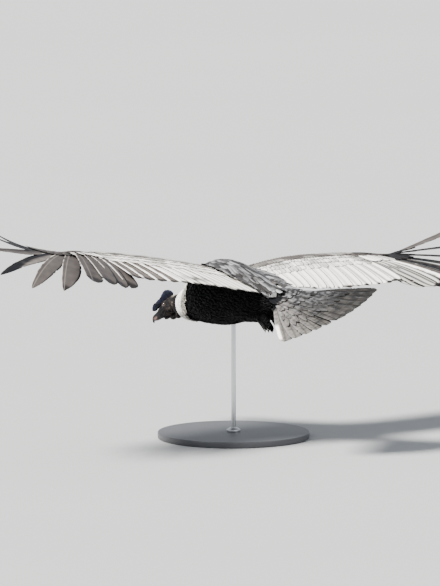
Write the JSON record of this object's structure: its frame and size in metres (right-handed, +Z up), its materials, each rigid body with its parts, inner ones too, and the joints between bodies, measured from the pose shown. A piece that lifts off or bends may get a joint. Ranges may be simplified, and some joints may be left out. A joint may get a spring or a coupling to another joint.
{
  "type": "andean condor display model",
  "caption": "Life-size still model of a gliding adult male Andean condor, wings spread with parted finger feathers and fanned tail, on a round display base with a steel rod.",
  "frame": {"origin": "centre of the underside of the round base", "axes": "+Z up, the bird heads to -Y, +X to the bird's left wing"},
  "size_m": [2.7274, 1.1541, 1.0757],
  "materials": {
    "body_feathers": "black contour feathers, soft sheen",
    "flight_feathers": "grey, white and black feather vanes with a satin sheen",
    "down": "white down, matt",
    "skin": "bare dark wrinkled skin",
    "comb_skin": "bare blue-black skin, slightly glossy",
    "horn": "ivory horn, dark at the root, satin",
    "eye": "wet brown eye",
    "foot_scale": "dark grey scaled skin",
    "stand_paint": "satin dark grey paint",
    "stand_steel": "brushed"
  },
  "bodies": {
    "root": {"torso": "body_feathers", "neck": "skin", "head": "skin", "comb": "comb_skin", "wattle": "skin", "bill_upper": "horn", "bill_lower": "horn", "eye_left": "eye", "eye_right": "eye", "ruff": "down", "wing_left": "flight_feathers", "wing_right": "flight_feathers", "tail": "flight_feathers", "leg_left": "foot_scale", "leg_right": "foot_scale", "stand_base": "stand_paint", "stand_rod": "stand_steel", "stand_collar": "stand_steel"}
  },
  "joints": []
}
